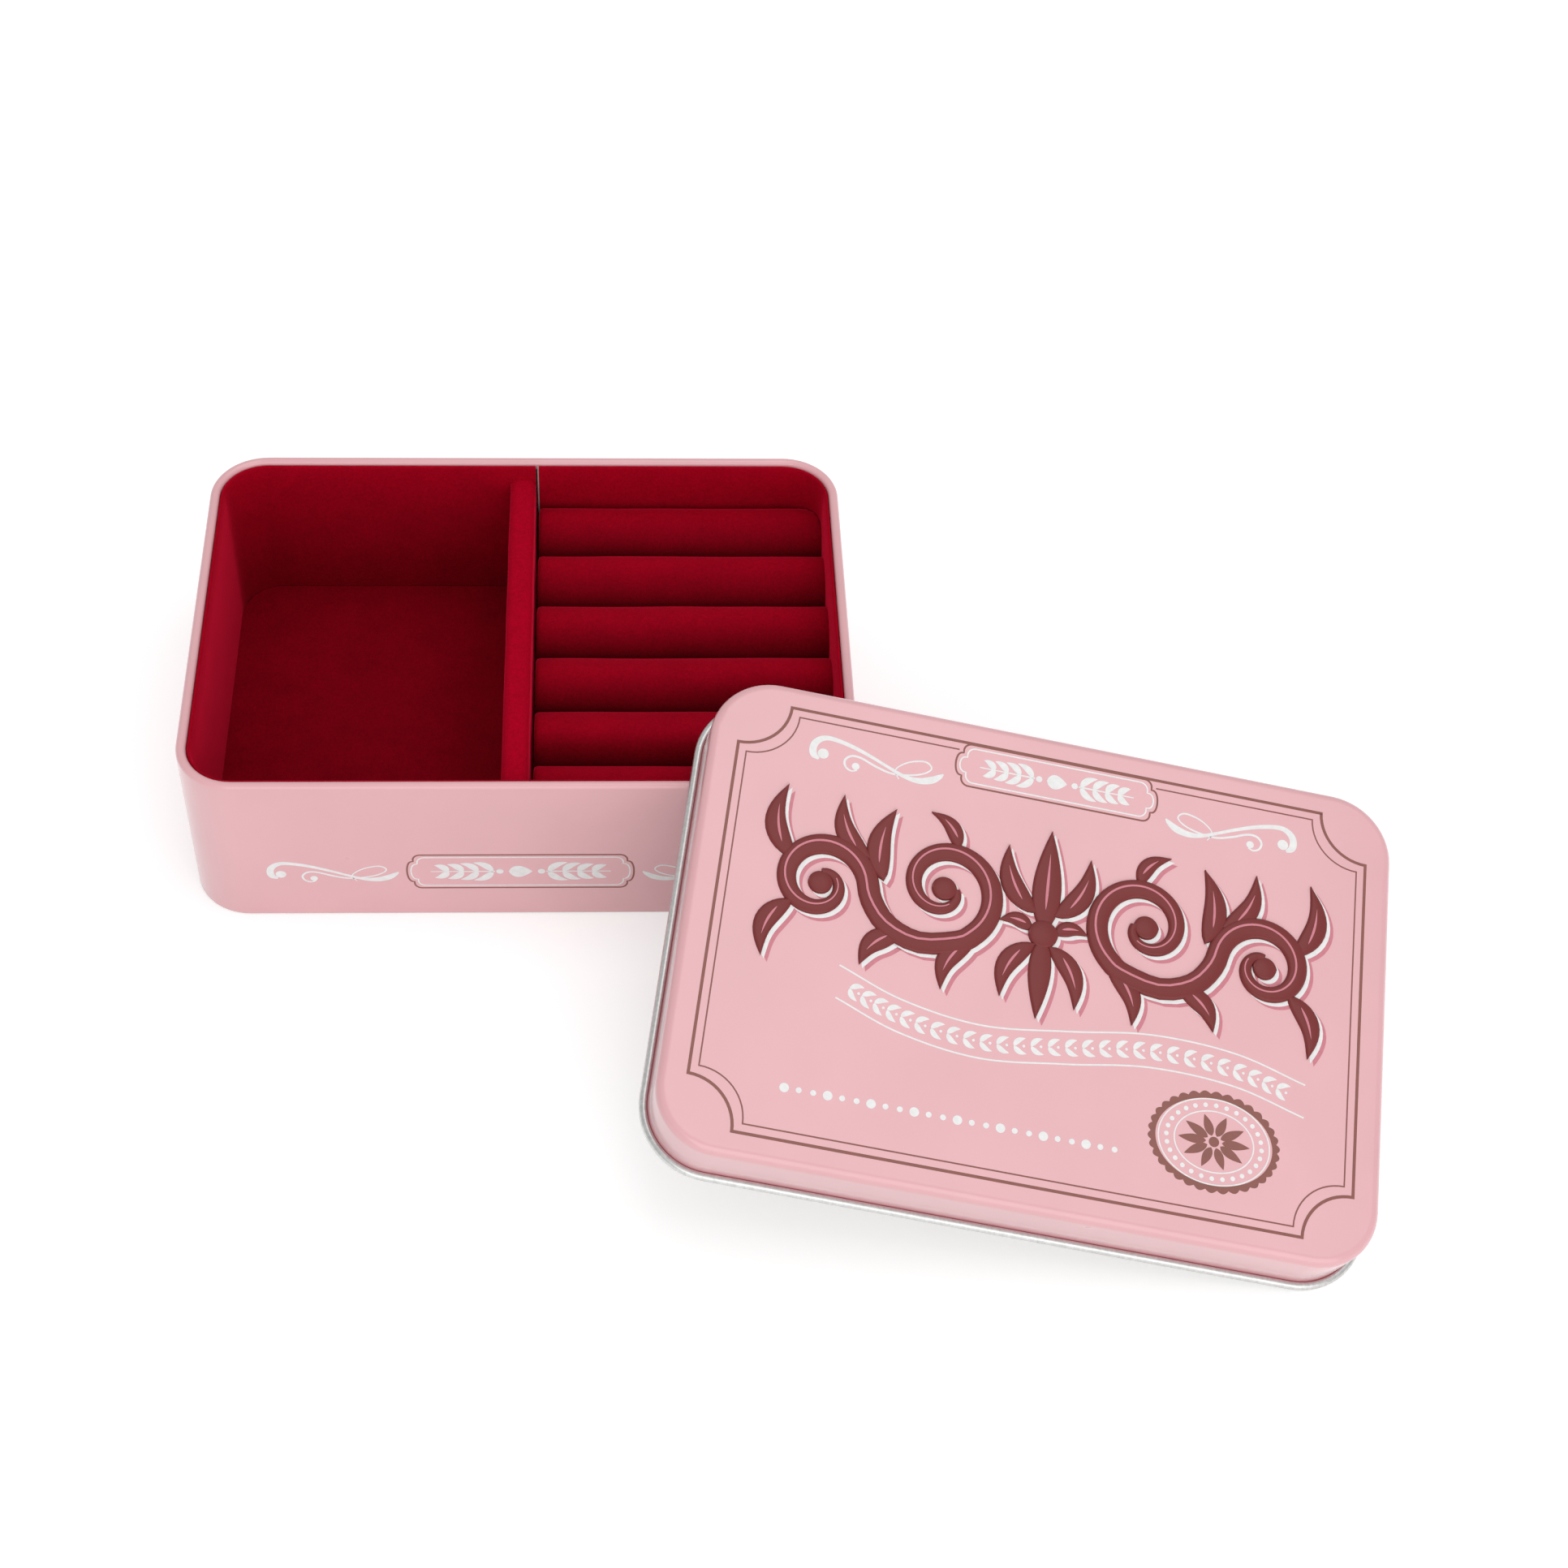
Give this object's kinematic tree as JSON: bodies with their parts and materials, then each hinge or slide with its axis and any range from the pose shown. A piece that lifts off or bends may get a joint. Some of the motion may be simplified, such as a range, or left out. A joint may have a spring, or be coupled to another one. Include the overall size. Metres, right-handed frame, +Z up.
{
  "type": "jewelry box",
  "caption": "Rounded rectangular tin jewelry box with a velvet-lined compartment, a divider and padded ring rolls; the loose lid leans open against one corner of the base.",
  "frame": {"origin": "on the table, in the middle of the rectangle that base and lid take up together", "axes": "+X along the base's long side to the right, +Y towards its back, +Z up"},
  "size_m": [0.2656, 0.2068, 0.0626],
  "materials": {
    "pink_painted_tin": "satin varnish over pink paint",
    "bare_tin": "bright tinplate",
    "grey_board": "matt grey paperboard",
    "wine_velvet": "short-pile velvet",
    "foam": "soft open-cell foam"
  },
  "bodies": {
    "base": {"tin_body_wall": "pink_painted_tin", "tin_bottom_plate": "bare_tin", "left_lining_board": "grey_board", "left_lining_velvet": "wine_velvet", "right_lining_board": "grey_board", "right_lining_velvet": "wine_velvet", "left_floor_board": "grey_board", "left_floor_velvet": "wine_velvet", "right_floor_board": "grey_board", "divider_velvet": "wine_velvet", "divider_board": "grey_board", "ring_roll_1_velvet": "wine_velvet", "ring_roll_1_foam": "foam", "ring_roll_2_velvet": "wine_velvet", "ring_roll_2_foam": "foam", "ring_roll_3_velvet": "wine_velvet", "ring_roll_3_foam": "foam", "ring_roll_4_velvet": "wine_velvet", "ring_roll_4_foam": "foam", "ring_roll_5_velvet": "wine_velvet", "ring_roll_5_foam": "foam", "ring_roll_6_velvet": "wine_velvet", "ring_roll_6_foam": "foam"},
    "lid": {"lid_shell": "pink_painted_tin"}
  },
  "joints": [
    {"name": "lid_lift", "type": "slide", "parent": "base", "child": "lid", "axis": [0, 0, 1], "range_m": [0, 0.08]}
  ]
}
